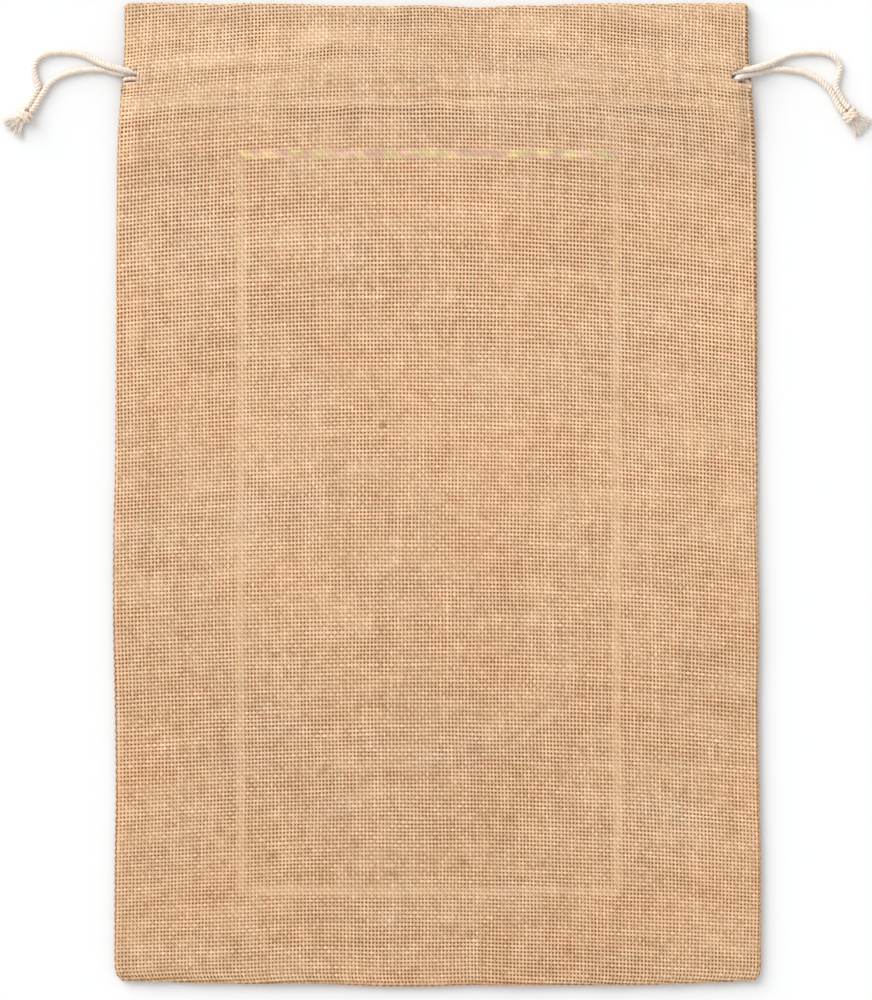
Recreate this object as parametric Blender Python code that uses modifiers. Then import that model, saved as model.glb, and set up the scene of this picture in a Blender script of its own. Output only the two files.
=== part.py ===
"""Burlap drawstring sack, 303 x 460 mm, lying flat on its back.

Frame: metres, +Z up. X runs across the sack, +Y runs from its closed bottom to
its mouth, Z is its thickness. The origin is under the middle of the two cloth
panels, on the surface that the sack lies on.

The maker cuts two burlap panels. The top of each is turned down inside, which
makes the heading and, below it, the channel for the drawcords. The panels meet
along their two sides and the bottom, and each side seam is left open over a
short slit. Two cotton cords run in the channels: each goes in at its own slit,
along the front channel, round at the far slit and back along the back channel,
and its two ends are knotted together outside. All sizes below are in mm.
"""

import math

import bmesh
import bpy
import numpy as np
from mathutils import Vector

MM = 0.001

# ---------------------------------------------------------------- sizes, mm
WIDTH, LENGTH = 303.0, 460.0
CLOTH = 1.0  # thickness of the burlap
CORD = 2.5  # diameter of the drawcord
EDGE_ROLL = 1.1  # radius over which a panel turns down to its seam
SEAM_Z, SEAM_GAP = 2.3, 0.5  # height of the seam between the two panels, and their distance there

BODY_TOP = 3.9  # outer face of the front panel over the body
HEADING_TOP = 5.0  # the same over the four layers of the heading
CHANNEL_TOP = 8.0  # the same over the cords
FRONT_HEM_LOW, BACK_HEM_LOW = 2.7, 2.3  # right sides of the two hems at the heading
HEM_RISE = 2.8  # how far both hems climb over the back cords

HEM_END = 176.0  # y of the turned-in raw edge
HEM_INSET = 32.0  # the hems stop this far from the side seams in the channel
SLIT_Y = 196.0  # middle of the slits
SLIT_DEPTH = 9.6
SLIT_FADE = 12.0  # how far the cloth is drawn in beyond a slit

# The edge of the sack, as the cloth lies: uneven by a millimetre or two.
SIDES = (  # y, left, right
    (-230.0, -146.2, 148.8),
    (-228.0, -149.2, 150.9),
    (-225.0, -150.5, 151.7),
    (-218.0, -150.8, 151.8),
    (-170.0, -150.7, 151.8),
    (-140.0, -150.2, 151.1),
    (-97.0, -150.7, 150.6),
    (-60.0, -151.5, 151.1),
    (-20.0, -151.4, 150.4),
    (10.0, -150.6, 150.3),
    (60.0, -150.2, 150.2),
    (138.0, -149.8, 149.9),
    (166.0, -149.3, 149.4),
    (185.0, -148.0, 147.9),
    (205.0, -146.4, 146.1),
    (222.0, -146.0, 145.9),
    (230.0, -146.1, 145.5),
)
ENDS = (  # x, top, bottom
    (-151.0, 230.2, -228.1),
    (-132.0, 230.4, -228.6),
    (-104.0, 229.8, -229.3),
    (-89.0, 230.3, -229.6),
    (-68.0, 229.8, -229.4),
    (-47.0, 229.2, -229.9),
    (-26.0, 228.8, -230.7),
    (-5.0, 229.2, -230.7),
    (16.0, 228.4, -230.1),
    (31.0, 228.8, -230.3),
    (58.0, 229.5, -230.1),
    (82.0, 230.1, -230.2),
    (107.0, 229.8, -229.8),
    (128.0, 230.2, -229.0),
    (151.0, 230.3, -228.0),
)

# Soft rises (+) and troughs (-) of the front panel over the body.
FOLDS = (  # x, y, half_length, half_width, turn_deg, rise
    (-40.0, 120.0, 90.0, 38.0, 8.0, 0.7),
    (86.0, 96.0, 60.0, 26.0, -22.0, -0.6),
    (-104.0, 20.0, 70.0, 24.0, 84.0, -0.6),
    (24.0, 4.0, 80.0, 36.0, 70.0, 0.8),
    (108.0, -46.0, 66.0, 22.0, 88.0, 0.5),
    (-66.0, -96.0, 58.0, 30.0, 30.0, 0.6),
    (42.0, -132.0, 76.0, 26.0, -12.0, -0.5),
    (-108.0, -176.0, 46.0, 22.0, -34.0, -0.4),
    (96.0, -188.0, 50.0, 26.0, 24.0, 0.5),
    (-8.0, 218.0, 60.0, 14.0, 0.0, 0.5),
)

# Where the cloth grid has its columns (from each side, to the middle) and rows.
COLUMNS = (1.1, 4.0, 8.5, 14.0, 30.0, 60.0, 90.0, 120.0, 151.5)
BODY_ROWS = (
    -228.9, -226.0, -220.0, -200.0, -165.0, -130.0, -95.0, -60.0, -25.0, 10.0,
    45.0, 80.0, 115.0, 143.0, 160.0, 171.0, 177.0, 183.0, 187.0, 189.5, 191.1,
    192.1, 193.0, 196.0, 199.0, 200.2, 201.6, 203.5, 207.0, 216.0, 228.85,
)  # fmt: skip
FOLD_STEPS = 5
HEM_ROWS = (
    222.0, 214.0, 207.0, 202.0, 196.0, 192.6, 190.8, 189.0, 186.0, 183.3, 180.2,
    177.4, HEM_END,
)  # fmt: skip

# Middle lines of the cords. Each cord is one line from knot to knot.
LEFT_KNOT = {"centre": (-193.2, 177.35), "cord_from": (0.60, 0.80), "tail_to": (-0.69, -0.72)}
RIGHT_KNOT = {"centre": (194.1, 177.45), "cord_from": (-0.60, 0.80), "tail_to": (0.72, -0.69)}

LEFT_UPPER_END = (  # x, y, z, from the knot to the slit
    (-192.7, 180.8, 2.3),
    (-190.9, 183.1, 1.7),
    (-188.9, 186.7, 1.3),
    (-187.0, 190.7, 1.3),
    (-188.3, 196.3, 1.3),
    (-188.8, 200.0, 1.3),
    (-187.4, 203.6, 1.3),
    (-184.2, 206.0, 1.3),
    (-179.3, 207.1, 1.3),
    (-173.2, 207.2, 1.3),
    (-166.7, 206.2, 1.4),
    (-161.6, 204.1, 1.7),
    (-156.6, 201.8, 3.2),
    (-151.8, 200.2, 4.7),
    (-147.3, 198.9, 5.35),
    (-143.0, 198.1, 5.4),
    (-138.6, 197.2, 5.35),
)
LEFT_LOWER_END = (  # x, y, z, from the slit to the knot
    (-133.7, 190.0, 2.55),
    (-136.8, 192.6, 2.55),
    (-139.8, 195.0, 2.55),
    (-143.2, 196.5, 2.6),
    (-147.0, 196.9, 2.6),
    (-150.8, 197.6, 2.1),
    (-154.8, 198.7, 1.4),
    (-159.6, 199.2, 1.3),
    (-166.7, 198.7, 1.3),
    (-173.2, 197.3, 1.3),
    (-178.0, 195.2, 1.3),
    (-181.5, 192.6, 1.3),
    (-183.9, 189.2, 1.3),
    (-186.3, 185.5, 1.3),
    (-188.3, 181.85, 1.7),
    (-190.3, 179.15, 2.3),
)
RIGHT_UPPER_END = (  # x, y, z, from the knot to the slit
    (193.4, 180.9, 2.3),
    (191.5, 183.1, 1.7),
    (189.4, 186.6, 1.3),
    (187.4, 190.8, 1.3),
    (188.4, 196.4, 1.3),
    (189.2, 200.4, 1.3),
    (187.4, 204.0, 1.3),
    (183.6, 206.4, 1.3),
    (178.3, 207.2, 1.3),
    (171.8, 207.0, 1.3),
    (165.8, 206.2, 1.4),
    (161.0, 204.2, 1.7),
    (156.4, 202.0, 3.2),
    (151.8, 200.3, 4.7),
    (147.6, 199.2, 5.35),
    (143.4, 198.5, 5.45),
    (138.8, 197.4, 5.45),
    (134.6, 196.0, 5.4),
)
RIGHT_LOWER_END = (  # x, y, z, from the slit to the knot
    (133.9, 188.9, 5.3),
    (136.6, 190.5, 5.0),
    (138.7, 192.5, 4.5),
    (141.2, 194.9, 5.42),
    (144.3, 196.0, 4.4),
    (147.4, 196.7, 3.2),
    (151.2, 197.6, 2.1),
    (155.0, 198.7, 1.4),
    (159.4, 199.2, 1.3),
    (165.2, 199.0, 1.3),
    (171.3, 198.0, 1.3),
    (176.9, 195.7, 1.3),
    (181.0, 193.0, 1.3),
    (184.3, 189.6, 1.3),
    (186.7, 185.6, 1.3),
    (188.6, 181.8, 1.7),
    (190.9, 178.9, 2.3),
)
LEFT_CHANNEL = (  # x, y, z, along the front channel, round the right slit and back
    (-134.0, 196.7, 5.27),
    (-127.0, 196.5, 5.25),
    (-60.0, 196.5, 5.25),
    (0.0, 196.5, 5.25),
    (60.0, 196.5, 5.25),
    (112.0, 196.5, 5.25),
    (119.6, 196.5, 5.25),
    (123.6, 196.5, 4.4),
    (127.4, 196.5, 3.15),
    (131.6, 196.3, 2.6),
    (136.0, 195.6, 2.57),
    (140.4, 194.6, 2.55),
    (143.9, 193.9, 2.55),
    (146.2, 192.9, 2.6),
    (146.2, 191.2, 2.6),
    (143.9, 189.8, 2.55),
    (140.0, 188.9, 2.55),
    (135.0, 188.2, 2.55),
    (128.0, 188.0, 2.55),
    (117.0, 188.0, 2.55),
    (60.0, 188.0, 2.55),
    (0.0, 188.0, 2.55),
    (-60.0, 188.0, 2.55),
    (-117.0, 188.0, 2.55),
    (-124.0, 188.05, 2.55),
    (-130.2, 188.5, 2.55),
)
RIGHT_CHANNEL = (  # x, y, z, along the front channel, round the left slit and back
    (130.4, 194.3, 5.35),
    (126.0, 193.55, 5.27),
    (118.0, 193.5, 5.25),
    (60.0, 193.6, 5.25),
    (0.0, 193.6, 5.25),
    (-60.0, 193.6, 5.25),
    (-117.0, 193.6, 5.25),
    (-127.0, 193.6, 5.25),
    (-133.5, 193.8, 5.35),
    (-139.5, 194.25, 5.42),
    (-143.9, 194.35, 5.2),
    (-146.2, 194.0, 4.35),
    (-146.3, 193.2, 3.15),
    (-144.5, 191.7, 2.65),
    (-141.2, 189.5, 2.55),
    (-137.2, 187.3, 2.55),
    (-132.8, 185.6, 2.55),
    (-127.5, 185.05, 2.55),
    (-117.0, 185.1, 2.55),
    (-60.0, 185.1, 2.55),
    (0.0, 185.1, 2.55),
    (60.0, 185.1, 2.55),
    (113.0, 185.1, 2.55),
    (120.0, 185.1, 2.6),
    (123.6, 185.15, 3.2),
    (127.0, 185.7, 4.3),
    (130.4, 187.1, 5.2),
)

KNOT_HALF = (4.1, 2.7, 2.8)  # across the cord, along it, up
TAIL_LENGTH, TAIL_ROOT, TAIL_TIP = 5.6, (2.2, 1.5), (5.2, 0.95)  # half width, half height

BURLAP = ("burlap", (0.66, 0.42, 0.245), 0.92)
COTTON = ("cotton_cord", (0.84, 0.76, 0.64), 0.85)


# ---------------------------------------------------------------- helpers
def table_at(rows, column, at):
    """A smooth curve through one column of a table, read at its first column."""
    keys = [row[0] for row in rows]
    vals = [row[column] for row in rows]
    at = min(max(at, keys[0]), keys[-1])
    i = max(0, min(len(keys) - 2, sum(k <= at for k in keys) - 1))

    def slope(j):
        a, b = max(j - 1, 0), min(j + 1, len(keys) - 1)
        return (vals[b] - vals[a]) / (keys[b] - keys[a])

    step = keys[i + 1] - keys[i]
    t = (at - keys[i]) / step
    return (
        (2 * t**3 - 3 * t**2 + 1) * vals[i]
        + (t**3 - 2 * t**2 + t) * step * slope(i)
        + (-2 * t**3 + 3 * t**2) * vals[i + 1]
        + (t**3 - t**2) * step * slope(i + 1)
    )


def ease(value, start, end):
    """0 at start, 1 at end, with a smooth run between."""
    t = min(max((value - start) / (end - start), 0.0), 1.0)
    return t * t * (3.0 - 2.0 * t)


def slit_opening(y):
    """How far a slit draws the edge in at this height, as a share of its depth. Its lower lip is the straighter one."""
    away = abs(y - SLIT_Y)
    full, lip, end, share = (3.0, 4.2, 5.6, 0.65) if y > SLIT_Y else (3.0, 3.9, 4.9, 0.85)
    if away <= full:
        return 1.0
    if away <= lip:
        return 1.0 - (1.0 - share) * (away - full) / (lip - full)
    return max(0.0, share * (end - away) / (end - lip))


def plan(column_x, row_y):
    """Where a point of the cloth grid lies, seen from above."""
    left, right = table_at(SIDES, 1, row_y), table_at(SIDES, 2, row_y)
    x = column_x * (right - left) / WIDTH + (left + right) / 2
    x += SLIT_DEPTH * slit_opening(row_y) * math.exp(-(column_x + WIDTH / 2 - EDGE_ROLL) / SLIT_FADE)
    x -= SLIT_DEPTH * slit_opening(row_y) * math.exp(-(WIDTH / 2 - EDGE_ROLL - column_x) / SLIT_FADE)
    top = (table_at(ENDS, 1, column_x) - LENGTH / 2) * ease(row_y, 206.0, 226.0)
    bottom = (table_at(ENDS, 2, column_x) + LENGTH / 2) * ease(row_y, -150.0, -225.0)
    return x, row_y + top + bottom


def folds(x, y):
    total = 0.0
    for fx, fy, length, width, turn, rise in FOLDS:
        c, s = math.cos(math.radians(turn)), math.sin(math.radians(turn))
        u, v = (x - fx) * c + (y - fy) * s, -(x - fx) * s + (y - fy) * c
        total += rise * math.exp(-((u / length) ** 2) - (v / width) ** 2)
    return total


def front_top(x, y):
    """Height of the front panel's outer face."""
    side = min(x - table_at(SIDES, 1, y), table_at(SIDES, 2, y) - x)
    base = BODY_TOP + (HEADING_TOP - BODY_TOP) * ease(y, 176.0, 200.0)
    over_cords = ease(y, 138.0, 183.0) * (1.0 - ease(y, 199.0, 226.0))
    over_hem = ease(y, 168.0, 175.0)
    height = max(base, BODY_TOP + (HEADING_TOP + 0.1 - BODY_TOP) * over_hem)
    height += (CHANNEL_TOP - height) * over_cords * ease(side, 0.0, 8.5)
    wave = folds(x, y)
    if y > 165.0:
        wave = max(wave, 0.0) * (1.0 - over_cords)
    return height + wave * ease(side, 0.0, 20.0)


def hem_lift(y):
    """How far the hems have climbed over the back cords at this height."""
    up = min(max((192.6 - y) / 3.6, 0.0), 1.0)
    down = ease(y, 177.2, 183.4)
    return HEM_RISE * up * down


def hem_inset(y):
    return 1.1 + 1.9 * ease(y, 228.0, 222.0) + (HEM_INSET - 3.0) * ease(y, 207.5, 201.5)


# ---------------------------------------------------------------- the panels
def grid_point(face, column_x, row):
    """One point of a panel's outer face. row is ("body" | "fold" | "hem", value)."""
    part, value = row
    radius = (HEADING_TOP - FRONT_HEM_LOW) / 2 if face > 0 else BACK_HEM_LOW / 2
    if part == "body":
        x, y = plan(column_x, value)
        return x, y, front_top(x, y) if face > 0 else 0.0
    x, y = plan(column_x, BODY_ROWS[-1])
    if part == "fold":
        top = front_top(x, y) if face > 0 else 0.0
        middle = top - face * radius
        return x, y + radius * math.sin(value), middle + face * radius * math.cos(value)
    low = (FRONT_HEM_LOW if face > 0 else BACK_HEM_LOW) + hem_lift(value)
    left, right = table_at(SIDES, 1, value), table_at(SIDES, 2, value)
    inset = hem_inset(value)
    share = (column_x + WIDTH / 2 - EDGE_ROLL) / (WIDTH - 2 * EDGE_ROLL)
    x = left + inset + (right - left - 2 * inset) * share
    top_wave = (table_at(ENDS, 1, column_x) - LENGTH / 2) * ease(value, 206.0, 226.0)
    lift = 0.0
    if face > 0:
        # The front hem follows the front panel where that rises over the mouth.
        lift = max(0.0, front_top(x, value + top_wave) - HEADING_TOP) * ease(value, 206.0, 216.0)
    return x, value + top_wave, low + lift


def build_panel(name, face, collection, material):
    """face is +1 for the front panel, whose outer face is up, and -1 for the back."""
    half = [c - WIDTH / 2 for c in COLUMNS]
    columns = half + [-c for c in reversed(half[:-1])]
    rows = [("body", y) for y in BODY_ROWS]
    rows += [("fold", math.pi * i / FOLD_STEPS) for i in range(1, FOLD_STEPS)]
    rows += [("hem", y) for y in HEM_ROWS]
    across, along = len(columns) - 1, len(rows) - 1

    bm = bmesh.new()
    bmesh.ops.create_grid(bm, x_segments=across, y_segments=along, size=1.0)
    at = {}
    for vert in bm.verts:
        i = round((vert.co.x + 1.0) / 2.0 * across)
        j = round((vert.co.y + 1.0) / 2.0 * along)
        at[i, j] = vert
        vert.co = Vector(grid_point(face, columns[i], rows[j])) * MM

    # The edge path runs down the left side, along the bottom and up the right.
    last = len(BODY_ROWS) - 1
    path = [at[0, j] for j in range(last, -1, -1)]
    path += [at[i, 0] for i in range(1, across + 1)]
    path += [at[across, j] for j in range(1, last + 1)]
    start = [vert.co / MM for vert in path]
    outward = []
    for k in range(len(start)):
        along_path = start[min(k + 1, len(start) - 1)] - start[max(k - 1, 0)]
        outward.append(Vector((along_path.y, -along_path.x, 0.0)).normalized())
    outward[0], outward[-1] = Vector((-1.0, 0.0, 0.0)), Vector((1.0, 0.0, 0.0))

    # The edge rolls over and ends upright on the seam, except at a slit, where it stays open.
    ring = path
    for step in (1, 2, 3):
        edges = [bm.edges.get((a, b)) for a, b in zip(ring, ring[1:])]
        grown = bmesh.ops.extrude_edge_only(bm, edges=edges)["geom"]
        fresh = {item for item in grown if isinstance(item, bmesh.types.BMVert)}
        following = []
        for k, vert in enumerate(ring):
            new = next(e.other_vert(vert) for e in vert.link_edges if e.other_vert(vert) in fresh)
            shut = ease(start[k].y, SLIT_Y + 4.0, SLIT_Y + 7.0) + ease(start[k].y, SLIT_Y - 6.4, SLIT_Y - 9.0)
            seam = SEAM_Z + face * SEAM_GAP / 2
            rise = abs(start[k].z - seam)
            roll = min(EDGE_ROLL, 0.75 * rise)
            angle = math.radians((40.0, 90.0, 90.0)[step - 1])
            rolled = (EDGE_ROLL * math.sin(angle), roll * (1.0 - math.cos(angle)))
            if step == 3:
                rolled = (EDGE_ROLL, rise)
            away = rolled[0] * shut + EDGE_ROLL * step / 3.0 * (1.0 - shut)
            new.co = (start[k] + outward[k] * away - Vector((0.0, 0.0, face * rolled[1] * shut))) * MM
            following.append(new)
        ring = following
    if face < 0:
        bmesh.ops.reverse_faces(bm, faces=bm.faces)

    mesh = bpy.data.meshes.new(name)
    bm.to_mesh(mesh)
    bm.free()
    mesh.materials.append(material)
    obj = bpy.data.objects.new(name, mesh)
    collection.objects.link(obj)
    thick = obj.modifiers.new("cloth thickness", "SOLIDIFY")
    thick.thickness = CLOTH * MM
    thick.offset = -1.0
    thick.use_even_offset = True
    thick.use_rim = True
    return obj


# ---------------------------------------------------------------- the cords
def smooth_line(points, per_span=24):
    """A smooth curve through the points, as closely spaced samples."""
    pts = [np.array(p, float) for p in points]
    pts = [2 * pts[0] - pts[1]] + pts + [2 * pts[-1] - pts[-2]]
    samples = []
    for p0, p1, p2, p3 in zip(pts, pts[1:], pts[2:], pts[3:]):
        t1 = np.linalg.norm(p1 - p0) ** 0.5
        t2 = t1 + np.linalg.norm(p2 - p1) ** 0.5
        t3 = t2 + np.linalg.norm(p3 - p2) ** 0.5
        for t in np.linspace(t1, t2, per_span, endpoint=False):
            a1 = (t1 - t) / t1 * p0 + t / t1 * p1
            a2 = (t2 - t) / (t2 - t1) * p1 + (t - t1) / (t2 - t1) * p2
            a3 = (t3 - t) / (t3 - t2) * p2 + (t - t2) / (t3 - t2) * p3
            b1 = (t2 - t) / t2 * a1 + t / t2 * a2
            b2 = (t3 - t) / (t3 - t1) * a2 + (t - t1) / (t3 - t1) * a3
            samples.append((t2 - t) / (t2 - t1) * b1 + (t - t1) / (t2 - t1) * b2)
    samples.append(pts[-2])
    return np.array(samples)


def tube_points(line, start, end, straight, bent):
    """Points of the line between two lengths: close together only where it bends."""
    steps = np.linalg.norm(np.diff(line, axis=0), axis=1)
    length = np.concatenate([[0.0], np.cumsum(steps)])

    def point(s):
        return np.array([np.interp(s, length, line[:, k]) for k in range(3)])

    def heading(s):
        ahead = point(min(s + 0.4, length[-1])) - point(max(s - 0.4, 0.0))
        return ahead / np.linalg.norm(ahead)

    # A short first and last stretch keeps the ends square to the cord.
    tip = 0.7
    points, s, stop = [point(start), point(start + tip)], start + tip, end
    end -= tip
    while s < end - 1e-6:
        step = straight
        while step > bent:
            probes = [heading(min(s + step * k / 4, end)) for k in range(5)]
            if min(float(np.dot(a, probes[0])) for a in probes) > math.cos(math.radians(14.0)):
                break
            step *= 0.8
        left = end - s
        step = left if left <= step * 1.05 else min(step, left / 2) if left < 2 * step else step
        s += step
        points.append(point(min(s, end)))
    return points + [point(stop)]


def build_cord(name, points, collection, material):
    curve = bpy.data.curves.new(name, "CURVE")
    curve.dimensions = "3D"
    curve.bevel_depth = CORD / 2 * MM
    curve.bevel_resolution = 2
    curve.use_fill_caps = True
    spline = curve.splines.new("POLY")
    spline.points.add(len(points) - 1)
    for slot, point in zip(spline.points, points):
        slot.co = (point[0] * MM, point[1] * MM, point[2] * MM, 1.0)
    curve.materials.append(material)
    obj = bpy.data.objects.new(name, curve)
    collection.objects.link(obj)
    return obj


def build_drawcord(side, upper, channel, lower, collection, material):
    """One cord, knot to knot: the upper free end, the run in the channels, the lower free end."""
    line = smooth_line(upper + channel + lower)
    steps = np.linalg.norm(np.diff(line, axis=0), axis=1)
    length = np.concatenate([[0.0], np.cumsum(steps)])
    enter = length[24 * len(upper)]
    leave = length[24 * (len(upper) + len(channel))]
    apart = 0.26  # either side of a join, so that the tubes' end faces stay apart where the cord bends
    for name, start, end, straight, bent in (
        ("upper_end", 0.0, enter - apart, 5.5, 1.6),
        ("in_channel", enter + apart, leave - apart, 13.0, 1.1),
        ("lower_end", leave + apart, length[-1], 5.5, 1.6),
    ):
        build_cord(f"{side}_cord_{name}", tube_points(line, start, end, straight, bent), collection, material())
    print(f"{side} cord: {enter:.1f} + {leave - enter:.1f} + {length[-1] - leave:.1f} mm")


def build_knot(name, knot, collection, material):
    """The overhand knot that joins both ends of a cord, as its outer shape with its turns."""
    bm = bmesh.new()
    bmesh.ops.create_uvsphere(bm, u_segments=16, v_segments=10, radius=1.0)
    along = Vector((*knot["cord_from"], 0.0)).normalized()
    across = Vector((along.y, -along.x, 0.0))
    centre = Vector((*knot["centre"], KNOT_HALF[2] + 0.05))
    for vert in bm.verts:
        u, v, w = vert.co
        swell = 1.0 + 0.07 * math.cos(5.0 * u + 2.0 * w)
        square = 1.0 / max(abs(u) ** 3 + abs(v) ** 3 + abs(w) ** 3, 1e-9) ** (1.0 / 3.0)
        grow = 0.5 * (1.0 + square) * min(swell, 1.03)
        spot = across * (u * grow * KNOT_HALF[0]) + along * (v * grow * KNOT_HALF[1])
        spot.z = max(w * grow * KNOT_HALF[2], -KNOT_HALF[2])
        vert.co = (centre + spot) * MM
    mesh = bpy.data.meshes.new(name)
    bm.to_mesh(mesh)
    bm.free()
    mesh.shade_smooth()
    mesh.materials.append(material)
    obj = bpy.data.objects.new(name, mesh)
    collection.objects.link(obj)
    return obj


def build_tail(name, knot, collection, material):
    """The frayed ends past the knot: a flat fan that widens to its tips."""
    bm = bmesh.new()
    bmesh.ops.create_cone(bm, cap_ends=True, segments=16, radius1=1.0, radius2=1.0, depth=2.0)
    bmesh.ops.subdivide_edges(
        bm, edges=[e for e in bm.edges if abs(e.verts[0].co.z - e.verts[1].co.z) > 1.0], cuts=2
    )
    out = Vector((*knot["tail_to"], 0.0)).normalized()
    across = Vector((-out.y, out.x, 0.0))
    root = Vector((*knot["centre"], 0.0)) + out * (KNOT_HALF[1] + 0.4)
    for vert in bm.verts:
        t = (vert.co.z + 1.0) / 2.0
        wide = TAIL_ROOT[0] + (TAIL_TIP[0] - TAIL_ROOT[0]) * t**1.2
        high = TAIL_ROOT[1] + (TAIL_TIP[1] - TAIL_ROOT[1]) * t
        middle = high + 0.05 + 0.55 * (1.0 - t)
        bow = 1.0 - 0.16 * vert.co.x**2 * t
        spot = root + out * (TAIL_LENGTH * t * bow) + across * (vert.co.x * wide)
        spot.z = middle + vert.co.y * high
        vert.co = spot * MM
    bmesh.ops.recalc_face_normals(bm, faces=bm.faces)
    mesh = bpy.data.meshes.new(name)
    bm.to_mesh(mesh)
    bm.free()
    mesh.materials.append(material)
    obj = bpy.data.objects.new(name, mesh)
    collection.objects.link(obj)
    return obj


# ---------------------------------------------------------------- assembly
def new_material(kind, name):
    label, colour, roughness = kind
    material = bpy.data.materials.new(f"{name}_{label}")
    material.use_nodes = True
    shader = material.node_tree.nodes["Principled BSDF"]
    shader.inputs["Base Color"].default_value = (*colour, 1.0)
    shader.inputs["Roughness"].default_value = roughness
    shader.inputs["Metallic"].default_value = 0.0
    material.diffuse_color = (*colour, 1.0)
    return material


def main():
    for obj in list(bpy.data.objects):
        bpy.data.objects.remove(obj)
    sack = bpy.data.collections.new("burlap_sack")
    bpy.context.scene.collection.children.link(sack)

    build_panel("front_panel", +1, sack, new_material(BURLAP, "front_panel"))
    build_panel("back_panel", -1, sack, new_material(BURLAP, "back_panel"))
    for side, upper, channel, lower, knot in (
        ("left", LEFT_UPPER_END, LEFT_CHANNEL, LEFT_LOWER_END, LEFT_KNOT),
        ("right", RIGHT_UPPER_END, RIGHT_CHANNEL, RIGHT_LOWER_END, RIGHT_KNOT),
    ):
        build_drawcord(side, upper, channel, lower, sack, lambda: new_material(COTTON, side))
        build_knot(f"{side}_knot", knot, sack, new_material(COTTON, f"{side}_knot"))
        build_tail(f"{side}_frayed_tail", knot, sack, new_material(COTTON, f"{side}_tail"))


main()
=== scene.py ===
"""Looks of the flat burlap drawstring sack: real interlaced yarns, twisted cotton
cords, knots with frayed ends, stitches and stray fibres, on a white floor.

Lengths in the tables and functions are mm in the part's own frame; meshes are
written in metres. The tables of the sack's outline, folds and cord routes repeat
the part's own sizes, so that the yarns lie where its cloth does.
"""

import math

import bpy
import numpy as np
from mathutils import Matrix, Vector


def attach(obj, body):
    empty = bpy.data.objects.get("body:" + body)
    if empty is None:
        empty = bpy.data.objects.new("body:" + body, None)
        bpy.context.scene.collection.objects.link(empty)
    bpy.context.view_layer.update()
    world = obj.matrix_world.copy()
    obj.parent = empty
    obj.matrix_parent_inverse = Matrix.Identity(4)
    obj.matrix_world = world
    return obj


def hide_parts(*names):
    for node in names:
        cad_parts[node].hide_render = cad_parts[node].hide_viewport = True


MM = 0.001
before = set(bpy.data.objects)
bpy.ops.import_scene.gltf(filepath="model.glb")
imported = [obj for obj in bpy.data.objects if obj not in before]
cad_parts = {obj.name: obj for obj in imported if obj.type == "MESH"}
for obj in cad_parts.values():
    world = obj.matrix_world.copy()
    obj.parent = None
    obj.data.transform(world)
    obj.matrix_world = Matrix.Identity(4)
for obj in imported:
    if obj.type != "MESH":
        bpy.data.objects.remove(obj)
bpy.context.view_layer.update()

# ---------------------------------------------------------------- camera
VIEW_X, VIEW_Y = -0.25, -2.8  # mm, the point under the lens
VIEW_LONG = 468.75  # mm of the sack's plane along the picture's long side
DISTANCE = 2200.0

camera_data = bpy.data.cameras.new("camera")
camera_data.sensor_width = 36.0
camera_data.lens = 36.0 * (DISTANCE - 3.0) / VIEW_LONG
camera_data.clip_start, camera_data.clip_end = 0.05, 20.0
camera = bpy.data.objects.new("camera", camera_data)
camera.location = (VIEW_X * MM, VIEW_Y * MM, DISTANCE * MM)
bpy.context.scene.collection.objects.link(camera)
bpy.context.scene.camera = camera

# ---------------------------------------------------------------- the part's sizes
WIDTH, LENGTH = 303.0, 460.0
CLOTH = 1.0
CORD = 2.5
EDGE_ROLL = 1.1
SEAM_Z, SEAM_GAP = 2.3, 0.5
BODY_TOP, HEADING_TOP, CHANNEL_TOP = 3.9, 5.0, 8.0
FRONT_HEM_LOW, BACK_HEM_LOW = 2.7, 2.3
HEM_RISE, HEM_END, HEM_INSET = 2.8, 176.0, 32.0
SLIT_Y, SLIT_DEPTH = 196.0, 8.8  # the cloth closes on the cords, so a slit looks shallower than it is
LOW_END, HIGH_END = -228.9, 228.85  # first and last y of the flat cloth

SIDES = (  # y, left, right
    (-230.0, -146.2, 148.8),
    (-228.0, -149.2, 150.9),
    (-225.0, -150.5, 151.7),
    (-218.0, -150.8, 151.8),
    (-170.0, -150.7, 151.8),
    (-140.0, -150.2, 151.1),
    (-97.0, -150.7, 150.6),
    (-60.0, -151.5, 151.1),
    (-20.0, -151.4, 150.4),
    (10.0, -150.6, 150.3),
    (60.0, -150.2, 150.2),
    (138.0, -149.8, 149.9),
    (166.0, -149.3, 149.4),
    (185.0, -148.0, 147.9),
    (205.0, -146.4, 146.1),
    (222.0, -146.0, 145.9),
    (230.0, -146.1, 145.5),
)
ENDS = (  # x, top, bottom
    (-151.0, 230.2, -228.1),
    (-132.0, 230.4, -228.6),
    (-104.0, 229.8, -229.3),
    (-89.0, 230.3, -229.6),
    (-68.0, 229.8, -229.4),
    (-47.0, 229.2, -229.9),
    (-26.0, 228.8, -230.7),
    (-5.0, 229.2, -230.7),
    (16.0, 228.4, -230.1),
    (31.0, 228.8, -230.3),
    (58.0, 229.5, -230.1),
    (82.0, 230.1, -230.2),
    (107.0, 229.8, -229.8),
    (128.0, 230.2, -229.0),
    (151.0, 230.3, -228.0),
)
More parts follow.
